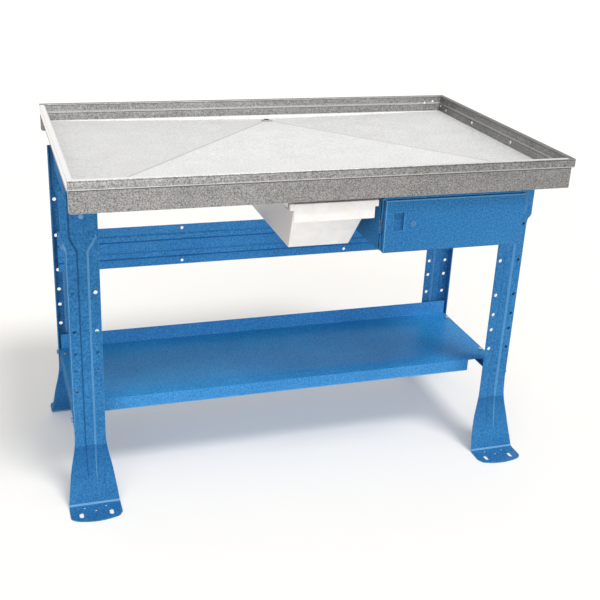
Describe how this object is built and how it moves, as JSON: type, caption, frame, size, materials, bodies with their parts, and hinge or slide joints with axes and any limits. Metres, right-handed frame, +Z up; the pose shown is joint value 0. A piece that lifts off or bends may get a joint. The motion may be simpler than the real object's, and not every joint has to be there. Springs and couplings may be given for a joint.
{
  "type": "stainless steel work table",
  "caption": "Stainless drain tray on four pressed blue steel legs, with lower shelf, ribbed rear stringer, slide-out drip pan and locking tool drawer.",
  "frame": {"origin": "on the floor under the middle of the bench's outer box", "axes": "+Z up, +X along the bench's long side to the right, -Y towards the user and the drawer"},
  "size_m": [1.2632, 0.757, 0.899],
  "materials": {
    "stainless_bright": "bright satin stainless",
    "stainless": "random-grain satin stainless",
    "blue_paint": "semi-gloss blue powder coat",
    "pale_galvanised": "pale warm grey, satin",
    "zinc_steel": "bright zinc plate",
    "black_rubber": "matt"
  },
  "bodies": {
    "frame": {"tray_floor": "stainless_bright", "tray_rim": "stainless", "tray_apron": "stainless", "drain_tube": "stainless", "drain_strainer": "stainless", "drain_gasket": "black_rubber", "drain_locknut": "zinc_steel", "leg_front_left": "blue_paint", "leg_front_right": "blue_paint", "leg_rear_left": "blue_paint", "leg_rear_right": "blue_paint", "top_rail_left": "blue_paint", "lower_rail_left": "blue_paint", "pan_runner_left": "blue_paint", "slide_channel_left": "zinc_steel", "top_rail_right": "blue_paint", "lower_rail_right": "blue_paint", "pan_runner_right": "blue_paint", "slide_channel_right": "zinc_steel", "tray_stiffener_front": "blue_paint", "tray_stiffener_rear": "blue_paint", "lower_shelf": "blue_paint", "rear_stringer": "blue_paint", "drawer_housing": "blue_paint", "tray_screw_1": "zinc_steel", "tray_screw_2": "zinc_steel", "tray_screw_3": "zinc_steel", "tray_screw_4": "zinc_steel", "top_rail_bolt_1": "zinc_steel", "top_rail_bolt_2": "zinc_steel", "top_rail_bolt_3": "zinc_steel", "top_rail_bolt_4": "zinc_steel", "lower_rail_bolt_1": "zinc_steel", "lower_rail_bolt_2": "zinc_steel", "lower_rail_bolt_3": "zinc_steel", "lower_rail_bolt_4": "zinc_steel", "shelf_bolt_1": "zinc_steel", "shelf_bolt_2": "zinc_steel", "shelf_bolt_3": "zinc_steel", "shelf_bolt_4": "zinc_steel", "stringer_bolt_1": "zinc_steel", "stringer_bolt_2": "zinc_steel", "stringer_bolt_3": "zinc_steel", "stringer_bolt_4": "zinc_steel", "runner_bolt_1": "zinc_steel", "runner_bolt_2": "zinc_steel", "runner_bolt_3": "zinc_steel", "runner_bolt_4": "zinc_steel", "housing_bolt_1": "zinc_steel", "housing_bolt_2": "zinc_steel", "housing_bolt_3": "zinc_steel", "housing_bolt_4": "zinc_steel"},
    "pan": {"drip_pan": "pale_galvanised"},
    "drawer": {"drawer_box": "blue_paint", "drawer_front": "blue_paint", "drawer_pull": "blue_paint", "slide_bar_left": "zinc_steel", "slide_bar_right": "zinc_steel"},
    "lock": {"lock_barrel": "zinc_steel", "lock_cam": "zinc_steel"}
  },
  "joints": [
    {"name": "pan_slide", "type": "slide", "parent": "frame", "child": "pan", "axis": [0, -1, 0], "range_m": [0, 0.5]},
    {"name": "drawer_slide", "type": "slide", "parent": "frame", "child": "drawer", "axis": [0, -1, 0], "range_m": [0, 0.34]},
    {"name": "lock_turn", "type": "hinge", "parent": "drawer", "child": "lock", "pos_m": [0.201, -0.352, 0.748], "axis": [0, -1, 0], "range_deg": [0, 90]}
  ]
}
